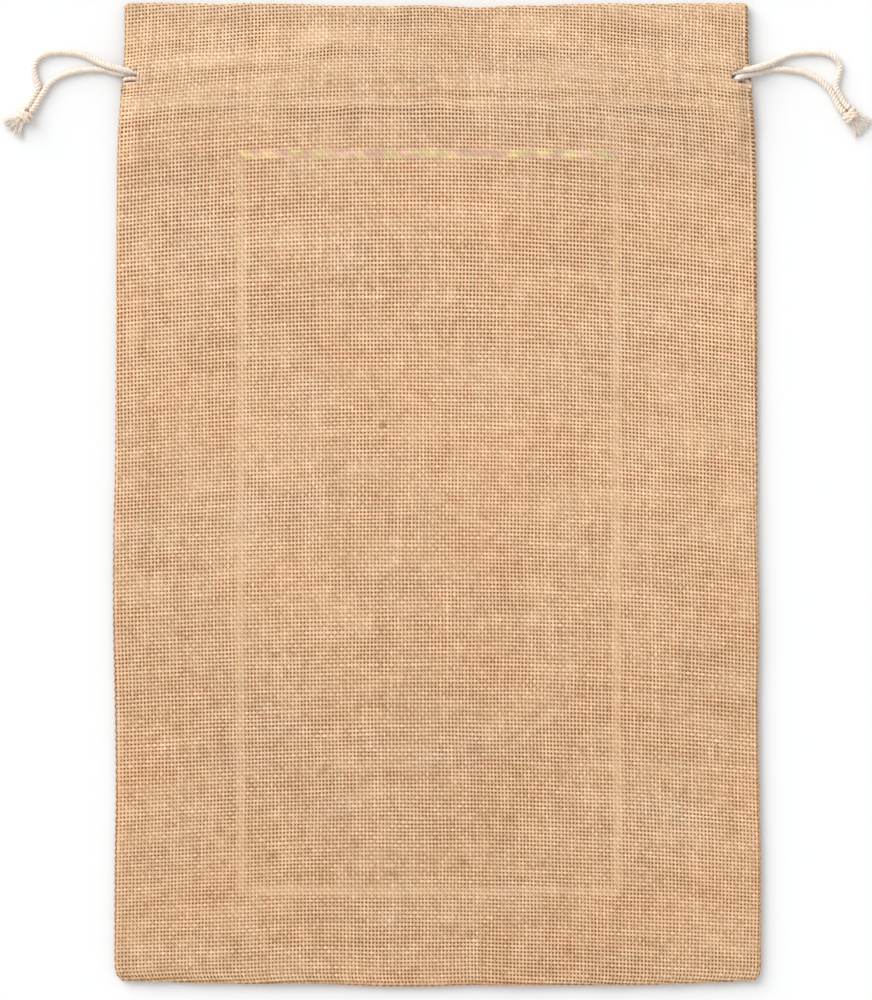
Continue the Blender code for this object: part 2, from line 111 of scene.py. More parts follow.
FOLDS = (  # x, y, half_length, half_width, turn_deg, rise
    (-40.0, 120.0, 90.0, 38.0, 8.0, 0.7), (86.0, 96.0, 60.0, 26.0, -22.0, -0.6),
    (-104.0, 20.0, 70.0, 24.0, 84.0, -0.6), (24.0, 4.0, 80.0, 36.0, 70.0, 0.8),
    (108.0, -46.0, 66.0, 22.0, 88.0, 0.5), (-66.0, -96.0, 58.0, 30.0, 30.0, 0.6),
    (42.0, -132.0, 76.0, 26.0, -12.0, -0.5), (-108.0, -176.0, 46.0, 22.0, -34.0, -0.4),
    (96.0, -188.0, 50.0, 26.0, 24.0, 0.5), (-8.0, 218.0, 60.0, 14.0, 0.0, 0.5),
)  # fmt: skip

LEFT_KNOT = {"centre": (-193.2, 177.35), "cord_from": (0.60, 0.80), "tail_to": (-0.69, -0.72)}
RIGHT_KNOT = {"centre": (194.1, 177.45), "cord_from": (-0.60, 0.80), "tail_to": (0.72, -0.69)}
KNOT_HALF = (4.1, 2.7, 2.8)  # across the cord, along it, up
TAIL_LENGTH = 5.6

LEFT_UPPER_END = (  # x, y, z
    (-192.7, 180.8, 2.3), (-190.9, 183.1, 1.7), (-188.9, 186.7, 1.3), (-187.0, 190.7, 1.3),
    (-188.3, 196.3, 1.3), (-188.8, 200.0, 1.3), (-187.4, 203.6, 1.3), (-184.2, 206.0, 1.3),
    (-179.3, 207.1, 1.3), (-173.2, 207.2, 1.3), (-166.7, 206.2, 1.4), (-161.6, 204.1, 1.7),
    (-156.6, 201.8, 3.2), (-151.8, 200.2, 4.7), (-147.3, 198.9, 5.35), (-143.0, 198.1, 5.4),
    (-138.6, 197.2, 5.35),
)  # fmt: skip
LEFT_LOWER_END = (
    (-133.7, 190.0, 2.55), (-136.8, 192.6, 2.55), (-139.8, 195.0, 2.55), (-143.2, 196.5, 2.6),
    (-147.0, 196.9, 2.6), (-150.8, 197.6, 2.1), (-154.8, 198.7, 1.4), (-159.6, 199.2, 1.3),
    (-166.7, 198.7, 1.3), (-173.2, 197.3, 1.3), (-178.0, 195.2, 1.3), (-181.5, 192.6, 1.3),
    (-183.9, 189.2, 1.3), (-186.3, 185.5, 1.3), (-188.3, 181.85, 1.7), (-190.3, 179.15, 2.3),
)  # fmt: skip
RIGHT_UPPER_END = (
    (193.4, 180.9, 2.3), (191.5, 183.1, 1.7), (189.4, 186.6, 1.3), (187.4, 190.8, 1.3),
    (188.4, 196.4, 1.3), (189.2, 200.4, 1.3), (187.4, 204.0, 1.3), (183.6, 206.4, 1.3),
    (178.3, 207.2, 1.3), (171.8, 207.0, 1.3), (165.8, 206.2, 1.4), (161.0, 204.2, 1.7),
    (156.4, 202.0, 3.2), (151.8, 200.3, 4.7), (147.6, 199.2, 5.35), (143.4, 198.5, 5.45),
    (138.8, 197.4, 5.45), (134.6, 196.0, 5.4),
)  # fmt: skip
RIGHT_LOWER_END = (
    (133.9, 188.9, 5.3), (136.6, 190.5, 5.0), (138.7, 192.5, 4.5), (141.2, 194.9, 5.42),
    (144.3, 196.0, 4.4), (147.4, 196.7, 3.2), (151.2, 197.6, 2.1), (155.0, 198.7, 1.4),
    (159.4, 199.2, 1.3), (165.2, 199.0, 1.3), (171.3, 198.0, 1.3), (176.9, 195.7, 1.3),
    (181.0, 193.0, 1.3), (184.3, 189.6, 1.3), (186.7, 185.6, 1.3), (188.6, 181.8, 1.7),
    (190.9, 178.9, 2.3),
)  # fmt: skip
LEFT_CHANNEL = (
    (-134.0, 196.7, 5.27), (-127.0, 196.5, 5.25), (-60.0, 196.5, 5.25), (0.0, 196.5, 5.25),
    (60.0, 196.5, 5.25), (112.0, 196.5, 5.25), (119.6, 196.5, 5.25), (123.6, 196.5, 4.4),
    (127.4, 196.5, 3.15), (131.6, 196.3, 2.6), (136.0, 195.6, 2.57), (140.4, 194.6, 2.55),
    (143.9, 193.9, 2.55), (146.2, 192.9, 2.6), (146.2, 191.2, 2.6), (143.9, 189.8, 2.55),
    (140.0, 188.9, 2.55), (135.0, 188.2, 2.55), (128.0, 188.0, 2.55), (117.0, 188.0, 2.55),
    (60.0, 188.0, 2.55), (0.0, 188.0, 2.55), (-60.0, 188.0, 2.55), (-117.0, 188.0, 2.55),
    (-124.0, 188.05, 2.55), (-130.2, 188.5, 2.55),
)  # fmt: skip
RIGHT_CHANNEL = (
    (130.4, 194.3, 5.35), (126.0, 193.55, 5.27), (118.0, 193.5, 5.25), (60.0, 193.6, 5.25),
    (0.0, 193.6, 5.25), (-60.0, 193.6, 5.25), (-117.0, 193.6, 5.25), (-127.0, 193.6, 5.25),
    (-133.5, 193.8, 5.35), (-139.5, 194.25, 5.42), (-143.9, 194.35, 5.2), (-146.2, 194.0, 4.35),
    (-146.3, 193.2, 3.15), (-144.5, 191.7, 2.65), (-141.2, 189.5, 2.55), (-137.2, 187.3, 2.55),
    (-132.8, 185.6, 2.55), (-127.5, 185.05, 2.55), (-117.0, 185.1, 2.55), (-60.0, 185.1, 2.55),
    (0.0, 185.1, 2.55), (60.0, 185.1, 2.55), (113.0, 185.1, 2.55), (120.0, 185.1, 2.6),
    (123.6, 185.15, 3.2), (127.0, 185.7, 4.3), (130.4, 187.1, 5.2),
)  # fmt: skip


# ---------------------------------------------------------------- helpers
def table_at(rows, column, at):
    """A smooth curve through one column of a table, read at its first column."""
    keys = np.array([row[0] for row in rows])
    vals = np.array([row[column] for row in rows])
    n = len(keys)
    low, high = np.maximum(np.arange(n) - 1, 0), np.minimum(np.arange(n) + 1, n - 1)
    slope = (vals[high] - vals[low]) / (keys[high] - keys[low])
    at = np.clip(at, keys[0], keys[-1])
    i = np.clip(np.searchsorted(keys, at, side="right") - 1, 0, n - 2)
    step = keys[i + 1] - keys[i]
    t = (at - keys[i]) / step
    return (
        (2 * t**3 - 3 * t**2 + 1) * vals[i]
        + (t**3 - 2 * t**2 + t) * step * slope[i]
        + (-2 * t**3 + 3 * t**2) * vals[i + 1]
        + (t**3 - t**2) * step * slope[i + 1]
    )


def ease(value, start, end):
    t = np.clip((value - start) / (end - start), 0.0, 1.0)
    return t * t * (3.0 - 2.0 * t)


def unit(v):
    return v / np.maximum(np.linalg.norm(v, axis=-1, keepdims=True), 1e-9)


def smooth_noise(shape, reach, seed):
    """Random numbers of unit spread that change over reach cells along each axis."""
    rough = np.random.default_rng(seed).standard_normal(shape)
    f0, f1 = np.fft.fftfreq(shape[0])[:, None], np.fft.rfftfreq(shape[1])[None, :]
    soft = np.exp(-2.0 * math.pi**2 * ((f0 * reach[0]) ** 2 + (f1 * reach[1]) ** 2))
    out = np.fft.irfft2(np.fft.rfft2(rough) * soft, s=shape)
    return (out - out.mean()) / out.std()


def slit_lips(upper):
    """How far each lip is from SLIT_Y at the slit's inner end, where it bends, and at the edge, and its depth at the bend."""
    return (
        np.where(upper, 0.9, 1.3), np.where(upper, 2.3, 3.5),
        np.where(upper, 4.2, 4.0), np.where(upper, 0.75, 0.72),
    )  # fmt: skip


def slit_opening(y):
    away = np.abs(y - SLIT_Y)
    full, lip, end, share = slit_lips(y > SLIT_Y)
    near = 1.0 - (1.0 - share) * (away - full) / (lip - full)
    far = np.maximum(0.0, share * (end - away) / (end - lip))
    return np.where(away <= full, 1.0, np.where(away <= lip, near, far))


def slit_edge(share, upper):
    """The distance from SLIT_Y at which the opening falls to this share."""
    full, lip, end, knee = slit_lips(upper)
    return np.where(share > knee, full + (lip - full) * (1.0 - share) / (1.0 - knee), end - (end - lip) * share / knee)


def folds(x, y):
    total = 0.0
    for fx, fy, length, width, turn, rise in FOLDS:
        c, s = math.cos(math.radians(turn)), math.sin(math.radians(turn))
        u, v = (x - fx) * c + (y - fy) * s, -(x - fx) * s + (y - fy) * c
        total = total + rise * np.exp(-((u / length) ** 2) - (v / width) ** 2)
    return total


def front_top(x, y):
    side = np.minimum(x - table_at(SIDES, 1, y), table_at(SIDES, 2, y) - x)
    base = BODY_TOP + (HEADING_TOP - BODY_TOP) * ease(y, 176.0, 200.0)
    over_cords = ease(y, 138.0, 183.0) * (1.0 - ease(y, 199.0, 226.0))
    height = np.maximum(base, BODY_TOP + (HEADING_TOP + 0.1 - BODY_TOP) * ease(y, 168.0, 175.0))
    by_slit = np.exp(-(((y - SLIT_Y) / 7.0) ** 2))
    height = height + (CHANNEL_TOP - height) * over_cords * ease(side, -3.0 * by_slit, 8.5 - 3.5 * by_slit)
    wave = folds(x, y)
    wave = np.where(y > 165.0, np.maximum(wave, 0.0) * (1.0 - over_cords), wave)
    return height + wave * ease(side, 0.0, 20.0)


def hem_lift(y):
    return HEM_RISE * np.clip((192.6 - y) / 3.6, 0.0, 1.0) * ease(y, 177.2, 183.4)


def hem_inset(y):
    return 1.1 + 1.9 * ease(y, 228.0, 222.0) + (HEM_INSET - 3.0) * ease(y, 207.5, 201.5)


def fold_radius(face):
    return (HEADING_TOP - FRONT_HEM_LOW) / 2 if face > 0 else BACK_HEM_LOW / 2


def surface(face, c, s):
    """A point of a panel's outer face. c runs across the cloth and s up along it, over the mouth's fold and down the hem."""
    half = WIDTH / 2 - EDGE_ROLL
    cc, sb = np.clip(c, -half, half), np.clip(s, LOW_END, HIGH_END)
    radius = fold_radius(face)
    hem = np.maximum(s - HIGH_END - math.pi * radius, 0.0)
    v = np.where(hem > 0.0, HIGH_END - hem, sb)
    left, right = table_at(SIDES, 1, v), table_at(SIDES, 2, v)
    x = cc * (right - left) / WIDTH + (left + right) / 2
    y = v + (table_at(ENDS, 1, cc) - LENGTH / 2) * ease(v, 206.0, 226.0)
    y = y + (table_at(ENDS, 2, cc) + LENGTH / 2) * ease(v, -150.0, -225.0)
    top = front_top(x, y) if face > 0 else np.zeros_like(x)
    turn = np.clip((s - HIGH_END) / radius, 0.0, math.pi)
    z = top - face * radius * (1.0 - np.cos(turn))
    y = y + radius * np.sin(turn)
    low = (FRONT_HEM_LOW if face > 0 else BACK_HEM_LOW) + hem_lift(v)
    if face > 0:
        low = low + np.maximum(0.0, top - HEADING_TOP) * ease(v, 206.0, 216.0)
    z = np.where(hem > 0.0, low, z)

    # The edges roll down to the seam, except at the slits.
    ox, oy = np.where(s <= HIGH_END, c - cc, 0.0), np.minimum(s - LOW_END, 0.0)
    over = np.hypot(ox, oy)
    safe = np.maximum(over, 1e-9)
    shut = ease(y, SLIT_Y + 4.0, SLIT_Y + 7.0) + ease(y, SLIT_Y - 6.4, SLIT_Y - 9.0)
    rise = np.abs(z - SEAM_Z - face * SEAM_GAP / 2)
    roll = np.minimum(EDGE_ROLL, 0.75 * rise)
    angle = np.minimum(over / EDGE_ROLL, math.pi / 2)
    rest = np.minimum(np.maximum(over - EDGE_ROLL * math.pi / 2, 0.0), np.maximum(rise - roll, 0.0))
    away = EDGE_ROLL * np.sin(angle) * shut + np.minimum(over, EDGE_ROLL) * (1.0 - shut)
    z = z - face * (roll * (1.0 - np.cos(angle)) + rest) * shut
    return np.stack([x + ox / safe * away, y + oy / safe * away, z], axis=-1)


# ---------------------------------------------------------------- materials
def noise_node(nodes, links, vector, scale, detail=2.0, rough=0.5):
    node = nodes.new("ShaderNodeTexNoise")
    node.inputs["Scale"].default_value = scale
    node.inputs["Detail"].default_value = detail
    node.inputs["Roughness"].default_value = rough
    if vector is not None:
        links.new(vector, node.inputs["Vector"])
    return node.outputs["Fac"]


def math_node(nodes, links, operation, a, b=None, c=None, clamp=False):
    node = nodes.new("ShaderNodeMath")
    node.operation = operation
    node.use_clamp = clamp
    for slot, value in zip(node.inputs, (a, b, c)):
        if value is None:
            continue
        if isinstance(value, (int, float)):
            slot.default_value = value
        else:
            links.new(value, slot)
    return node.outputs[0]


def mix_colour(nodes, links, factor, a, b, blend="MIX"):
    node = nodes.new("ShaderNodeMix")
    node.data_type = "RGBA"
    node.blend_type = blend
    for slot, value in ((node.inputs[0], factor), (node.inputs[6], a), (node.inputs[7], b)):
        if isinstance(value, (int, float)):
            slot.default_value = value
        elif isinstance(value, tuple):
            slot.default_value = (*value, 1.0)
        else:
            links.new(value, slot)
    return node.outputs[2]


def attribute(nodes, name):
    node = nodes.new("ShaderNodeAttribute")
    node.attribute_type = "GEOMETRY"
    node.attribute_name = name
    return node.outputs["Fac"]


def scaled_vector(nodes, links, vector, scale):
    node = nodes.new("ShaderNodeMapping")
    node.inputs["Scale"].default_value = scale
    links.new(vector, node.inputs["Vector"])
    return node.outputs["Vector"]


def combined(nodes, links, x, y, z):
    node = nodes.new("ShaderNodeCombineXYZ")
    for slot, value in zip(node.inputs, (x, y, z)):
        if isinstance(value, (int, float)):
            slot.default_value = value
        else:
            links.new(value, slot)
    return node.outputs[0]


def fibre_material(name, dark, light, warm, streak, mottle, bump, woven=False, bordered=False):
    """Fibre or yarn: light and dark by the mesh's tone, which holds the fibre's own colour and, on the yarns and cords,
    painted highlight and shade, with streaks along each yarn and soft blotches.
    """
    material = bpy.data.materials.new(name)
    material.use_nodes = True
    nodes, links = material.node_tree.nodes, material.node_tree.links
    shader = nodes["Principled BSDF"]
    shader.inputs["Roughness"].default_value = 0.88
    shader.inputs["Metallic"].default_value = 0.0
    shader.inputs["Specular IOR Level"].default_value = 0.25
    shader.inputs["Sheen Weight"].default_value = 0.12
    shader.inputs["Sheen Roughness"].default_value = 0.5

    # Along the yarn in mm, and its own lane across, so that no two yarns match.
    lane = combined(nodes, links, attribute(nodes, "along"), attribute(nodes, "lane"), 0.0)
    fine = noise_node(nodes, links, scaled_vector(nodes, links, lane, (0.9, 9.0, 1.0)), 1.0, 3.0, 0.6)
    slub = noise_node(nodes, links, scaled_vector(nodes, links, lane, (0.16, 5.0, 1.0)), 1.0, 2.0, 0.5)
    place = nodes.new("ShaderNodeTexCoord").outputs["Object"]
    wide = noise_node(nodes, links, place, 26.0, 3.0, 0.55)
    mid = noise_node(nodes, links, place, 110.0, 2.0, 0.5)

    tone = math_node(nodes, links, "ADD", attribute(nodes, "tone"), 0.5)
    tone = math_node(nodes, links, "MULTIPLY_ADD", math_node(nodes, links, "SUBTRACT", fine, 0.5), streak, tone)
    tone = math_node(nodes, links, "MULTIPLY_ADD", math_node(nodes, links, "SUBTRACT", slub, 0.5), streak * 0.8, tone)
    tone = math_node(nodes, links, "MULTIPLY_ADD", math_node(nodes, links, "SUBTRACT", wide, 0.5), mottle, tone)
    tone = math_node(nodes, links, "MULTIPLY_ADD", math_node(nodes, links, "SUBTRACT", mid, 0.5), mottle * 0.6, tone)
    border = None
    if bordered:
        # The faint rectangle on the front: where it is, the weave shows less and the colour drifts.
        split = nodes.new("ShaderNodeSeparateXYZ")
        links.new(place, split.inputs[0])
        low_x, low_y, high_x, high_y, band = (value * MM for value in (*BORDER, BORDER_BAND))
        from_x = math_node(nodes, links, "ABSOLUTE", math_node(nodes, links, "SUBTRACT", split.outputs[0], (low_x + high_x) / 2))
        from_y = math_node(nodes, links, "ABSOLUTE", math_node(nodes, links, "SUBTRACT", split.outputs[1], (low_y + high_y) / 2))
        out_x = math_node(nodes, links, "SUBTRACT", from_x, (high_x - low_x) / 2 - band / 2)
        out_y = math_node(nodes, links, "SUBTRACT", from_y, (high_y - low_y) / 2 - band / 2)
        edge = math_node(nodes, links, "ABSOLUTE", math_node(nodes, links, "MAXIMUM", out_x, out_y))
        border = math_node(nodes, links, "MULTIPLY_ADD", edge, -1.0 / (0.35 * band), 0.5 / 0.35 + 0.5, clamp=True)
        top = math_node(nodes, links, "GREATER_THAN", out_y, out_x)
        top = math_node(nodes, links, "MULTIPLY", top, math_node(nodes, links, "GREATER_THAN", split.outputs[1], 0.0))
        calm = math_node(nodes, links, "SUBTRACT", math_node(nodes, links, "MULTIPLY_ADD", top, 0.16, 0.44), tone)
        steady = math_node(nodes, links, "MULTIPLY", border, math_node(nodes, links, "MULTIPLY_ADD", top, 0.35, 0.5))
        tone = math_node(nodes, links, "ADD", tone, math_node(nodes, links, "MULTIPLY", calm, steady))
    tone = math_node(nodes, links, "ADD", tone, 0.0, clamp=True)
    colour = mix_colour(nodes, links, tone, dark, light)
    hue = math_node(nodes, links, "ADD", attribute(nodes, "hue"), 0.0, clamp=True)
    colour = mix_colour(nodes, links, hue, colour, mix_colour(nodes, links, 1.0, colour, warm, "MULTIPLY"))
    if woven:
        # Painted shade: round each hole, half way between four crossings, the yarns are painted brown, as if in the
        # hole's shade.
        square = []
        for key, reach in (("cell_u", 0.37), ("cell_v", 0.35)):
            off = math_node(nodes, links, "SUBTRACT", math_node(nodes, links, "FRACT", attribute(nodes, key)), 0.5)
            square.append(math_node(nodes, links, "POWER", math_node(nodes, links, "MULTIPLY", math_node(nodes, links, "ABSOLUTE", off), 1.0 / reach), 2.0))
        pit = math_node(nodes, links, "SUBTRACT", 1.0, math_node(nodes, links, "ADD", square[0], square[1]), clamp=True)
        pit = math_node(nodes, links, "MULTIPLY", pit, attribute(nodes, "pit"))
        if border is not None:
            closed = math_node(nodes, links, "MULTIPLY", border, math_node(nodes, links, "MULTIPLY_ADD", top, 0.3, 0.65))
            pit = math_node(nodes, links, "MULTIPLY", pit, math_node(nodes, links, "SUBTRACT", 1.0, closed))
        pit = math_node(nodes, links, "MULTIPLY", pit, 1.15, clamp=True)
        colour = mix_colour(nodes, links, pit, colour, mix_colour(nodes, links, 1.0, colour, HOLE_SHADE_BROWN, "MULTIPLY"))
    if border is not None:
        drift = []
        for stretch, scale in ((1.0, 120.0), (1.7, 95.0)):
            noise = noise_node(nodes, links, scaled_vector(nodes, links, place, (1.0, stretch, 0.0)), scale, 1.0, 0.4)
            drift.append(math_node(nodes, links, "MULTIPLY_ADD", math_node(nodes, links, "SUBTRACT", noise, 0.5), 5.5, 0.5, clamp=True))
        greener = mix_colour(nodes, links, drift[1], (0.82, 0.98, 0.78), (1.12, 1.22, 0.98))
        pinker = mix_colour(nodes, links, drift[1], (0.84, 0.74, 0.84), (1.10, 0.98, 1.15))
        tint = mix_colour(nodes, links, drift[0], greener, pinker)
        strength = math_node(nodes, links, "MULTIPLY", border, math_node(nodes, links, "MULTIPLY_ADD", top, 0.74, 0.20))
        colour = mix_colour(nodes, links, strength, colour, mix_colour(nodes, links, 1.0, colour, tint, "MULTIPLY"))
    links.new(colour, shader.inputs["Base Color"])

    if bump > 0.0:
        relief = nodes.new("ShaderNodeBump")
        relief.inputs["Strength"].default_value = bump
        relief.inputs["Distance"].default_value = 0.00012
        links.new(fine, relief.inputs["Height"])
        links.new(relief.outputs["Normal"], shader.inputs["Normal"])
    return material


JUTE_DARK, JUTE_LIGHT, JUTE_WARM = (0.44, 0.262, 0.128), (0.93, 0.696, 0.480), (1.04, 0.95, 0.89)
HOLE_SHADE_BROWN = (0.57, 0.25, 0.055)  # painted shade: how the yarns darken round a hole
COTTON_DARK, COTTON_LIGHT, COTTON_WARM = (0.80, 0.65, 0.54), (0.945, 0.895, 0.825), (1.0, 0.93, 0.88)


# ---------------------------------------------------------------- meshes
def mesh_object(name, points, quads, bake_uv, values, material):
    """A mesh from arrays: points in mm, quads as point numbers, bake_uv and values per point."""
    used, numbers = np.unique(quads, return_inverse=True)
    quads = numbers.reshape(quads.shape)
    points = points[used]
    mesh = bpy.data.meshes.new(name)
    mesh.vertices.add(len(points))
    points = np.concatenate([points[:, :2], np.maximum(points[:, 2:], 0.02)], axis=1)  # nothing goes into the floor
    mesh.vertices.foreach_set("co", (points * MM).astype(np.float32).ravel())
    mesh.loops.add(quads.size)
    mesh.loops.foreach_set("vertex_index", quads.astype(np.int32).ravel())
    mesh.polygons.add(len(quads))
    mesh.polygons.foreach_set("loop_start", np.arange(0, quads.size, quads.shape[1], dtype=np.int32))
    mesh.update(calc_edges=True)
    mesh.shade_smooth()
    if bake_uv is not None:
        layer = mesh.uv_layers.new(name="OFBake")
        layer.uv.foreach_set("vector", bake_uv[used][quads.ravel()].astype(np.float32).ravel())
    for key, value in values.items():
        layer = mesh.attributes.new(key, "FLOAT", "POINT")
        layer.data.foreach_set("value", np.broadcast_to(value, (int(used.max()) + 1,))[used].astype(np.float32) if np.ndim(value) == 0 else value[used].astype(np.float32))
    mesh.materials.append(material)
    obj = bpy.data.objects.new(name, mesh)
    bpy.context.scene.collection.objects.link(obj)
    return obj


# ---------------------------------------------------------------- the cords
def smooth_line(points, per_span=24):
    """A smooth curve through the points, as closely spaced samples."""
    pts = [np.array(p, float) for p in points]
    pts = [2 * pts[0] - pts[1]] + pts + [2 * pts[-1] - pts[-2]]
    samples = []
    for p0, p1, p2, p3 in zip(pts, pts[1:], pts[2:], pts[3:]):
        t1 = np.linalg.norm(p1 - p0) ** 0.5
        t2 = t1 + np.linalg.norm(p2 - p1) ** 0.5
        t3 = t2 + np.linalg.norm(p3 - p2) ** 0.5
        for t in np.linspace(t1, t2, per_span, endpoint=False):
            a1 = (t1 - t) / t1 * p0 + t / t1 * p1
            a2 = (t2 - t) / (t2 - t1) * p1 + (t - t1) / (t2 - t1) * p2
            a3 = (t3 - t) / (t3 - t2) * p2 + (t - t2) / (t3 - t2) * p3
            b1 = (t2 - t) / t2 * a1 + t / t2 * a2
            b2 = (t3 - t) / (t3 - t1) * a2 + (t - t1) / (t3 - t1) * a3
            samples.append((t2 - t) / (t2 - t1) * b1 + (t - t1) / (t2 - t1) * b2)
    samples.append(pts[-2])
    return np.array(samples)


def along_line(line):
    steps = np.linalg.norm(np.diff(line, axis=0), axis=1)
    return np.concatenate([[0.0], np.cumsum(steps)])


def resampled(line, start, end, step):
    length = along_line(line)
    at = np.linspace(start, end, max(4, int(round((end - start) / step)) + 1))
    return at, np.stack([np.interp(at, length, line[:, k]) for k in range(3)], axis=1)


TWIST = 5.2  # mm of cord in which a strand goes once round
LOOSE_RADIUS = 1.50  # the fluffy outside of a free end


def rope(name, line, start, end, step, sides, material, radius=CORD / 2, strands=3, twist=TWIST, seed=1, dim=0.0, swell=None):
    """A laid cord of three strands between two lengths of a line. Returns the piece and the ring centres, in mm."""
    at, centre = resampled(line, start, end, step)
    ahead = unit(np.gradient(centre, axis=0))
    side = np.zeros_like(ahead)
    previous = unit(np.cross(ahead[0], (0.0, 0.0, 1.0)) + 1e-6)
    for i, forward in enumerate(ahead):
        previous = unit(previous - forward * np.dot(previous, forward))
        side[i] = previous
    up = np.cross(ahead, side)
    turn = 2.0 * math.pi * at / twist
    around = np.arange(sides) / sides * 2.0 * math.pi
    # Each strand is a circle that leans on its neighbours.
    mid, strand = 0.42, 0.66
    gap = (around + math.pi / strands) % (2.0 * math.pi / strands) - math.pi / strands
    lobe = mid * np.cos(gap) + np.sqrt(np.maximum(strand**2 - (mid * np.sin(gap)) ** 2, 0.0))
    lobe = lobe / lobe.max()
    uneven = 1.0 + 0.03 * smooth_noise((len(at), sides), (3.0, 1.0), seed)
    full = radius * (np.ones(len(at)) if swell is None else swell(at))
    reach = full[:, None] * np.minimum(lobe[None, :] * uneven, 1.0)
    angle = turn[:, None] + around[None, :]
    points = centre[:, None, :] + (side[:, None, :] * np.cos(angle)[..., None] + up[:, None, :] * np.sin(angle)[..., None]) * reach[..., None]
    rings = len(at)
    number = np.arange(rings * sides).reshape(rings, sides)
    quads = np.stack(
        [number[:-1], np.roll(number, -1, 1)[:-1], np.roll(number, -1, 1)[1:], number[1:]], axis=-1
    ).reshape(-1, 4)
    flat = points.reshape(-1, 3)
    # Caps, as fans of triangles folded into quads.
    ends = []
    for ring, flip in ((number[0], True), (number[-1], False)):
        half = sides // 2
        for k in range(half - 1):
            quad = [ring[k], ring[k + 1], ring[(sides - 2 - k) % sides], ring[sides - 1 - k]]
            ends.append(quad[::-1] if flip else quad)
    quads = np.concatenate([quads, np.array(ends)])
    rng = np.random.default_rng(seed)
    # Painted shade and highlight: the grooves between the strands are darker, the strands' crowns lighter.
    tone = -dim + 0.75 * (np.broadcast_to(lobe, (rings, sides)) - 0.86) + 0.08 * smooth_noise((rings, sides), (14.0, 0.6), seed + 7)
    length_uv = np.broadcast_to(at[:, None], (rings, sides))
    lane = np.broadcast_to(np.floor(around / (2.0 * math.pi) * strands)[None, :] * 3.0 + gap[None, :] * 2.2, (rings, sides))
    obj = mesh_object(
        name,
        flat,
        quads,
        None,
        {
            "tone": tone.ravel(),
            "along": length_uv.ravel() * 1.6 + rng.random() * 50.0,
            "lane": lane.ravel(),
            "hue": (0.25 + dim + 0.25 * smooth_noise((rings, sides), (30.0, 2.0), seed + 9)).ravel(),
        },
        material,
    )
    return obj, centre


def fibre_bundle(name, curves, radii, tones, sides, material):
    """Many thin tapering fibres in one mesh. curves is fibres x points x 3, in mm."""
    count, steps = curves.shape[:2]
    ahead = unit(np.gradient(curves, axis=1))
    side = unit(np.cross(ahead, np.array([0.13, 0.21, 0.97])))
    up = np.cross(ahead, side)
    around = np.arange(sides) / sides * 2.0 * math.pi
    ring = side[:, :, None, :] * np.cos(around)[None, None, :, None] + up[:, :, None, :] * np.sin(around)[None, None, :, None]
    taper = np.linspace(1.0, 0.45, steps)[None, :, None, None]
    points = curves[:, :, None, :] + ring * radii[:, None, None, None] * taper
    number = np.arange(count * steps * sides).reshape(count, steps, sides)
    turned = np.roll(number, -1, 2)
    quads = np.stack([number[:, :-1], turned[:, :-1], turned[:, 1:], number[:, 1:]], axis=-1).reshape(-1, 4)
    shape = (count, steps, sides)
    along = np.broadcast_to(np.arange(steps)[None, :, None] * 0.8, shape)
    return mesh_object(
        name,
        points.reshape(-1, 3),
        quads,
        None,
        {
            "tone": np.broadcast_to(tones[:, None, None], shape).ravel(),
            "along": along.ravel(),
            "lane": np.broadcast_to(np.arange(count)[:, None, None] * 1.7, shape).ravel(),
            "hue": np.broadcast_to(np.clip(0.9 - tones, 0.0, 1.0)[:, None, None], shape).ravel(),
        },
        material,
    )


def knot_piece(name, knot, material, seed):
    """Both ends of a cord tied in one overhand knot: two turns round the cords and the pair that crosses over them."""
    along = unit(np.array([*knot["cord_from"], 0.0]))
    across = np.array([along[1], -along[0], 0.0])
    up = np.array([0.0, 0.0, 1.0])
    centre = np.array([*knot["centre"], KNOT_HALF[2] + 0.05])
    t = np.linspace(0.0, 2.0 * math.pi, 97)
    lines = []
    r = 1.18
    for shift, lean, grow in ((1.0, 0.34, 1.04), (-1.05, 0.20, 1.0)):
        a, b = (KNOT_HALF[0] - r) * grow, (KNOT_HALF[2] - r - 0.02)
        loop = (
            across * (a * np.cos(t))[:, None]
            + up * (b * np.sin(t))[:, None]
            + along * (shift + lean * np.cos(t) * 1.2 + 0.18 * np.sin(2 * t))[:, None]
        )
        lines.append((centre + loop, r))
    u = np.linspace(-1.0, 1.0, 40)
    for offset in (0.62, -0.62):
        over = (
            across * (2.6 * u + offset * 0.55)[:, None]
            + along * (-1.5 * u + offset)[:, None]
            + up * (KNOT_HALF[2] - 0.92 - 1.5 * u**4)[:, None]
        )
        lines.append((centre + over, 0.86))
    for offset in (1.2, -1.2):
        stub = (
            across * (offset * (1.0 + 0.12 * u))[:, None]
            - along * (1.0 + 1.7 * (u + 1.0))[:, None]
            + up * (-0.9 - 0.45 * (u + 1.0) / 2)[:, None]
        )
        lines.append((centre + stub, 1.05))
        entry = (
            across * (offset * (1.0 + 0.10 * u))[:, None]
            + along * (1.0 + 1.3 * (u + 1.0))[:, None]
            + up * (-0.7 + 0.15 * (u + 1.0) / 2)[:, None]
        )
        lines.append((centre + entry, 1.1))
    parts = []
    for k, (line, radius) in enumerate(lines):
        obj, _ = rope(f"{name}_{k}", line, 0.0, along_line(line)[-1], 0.3, 15, material, radius=radius, twist=4.4, seed=seed + k, dim=0.35)
        parts.append(obj)
    return joined(parts, name)


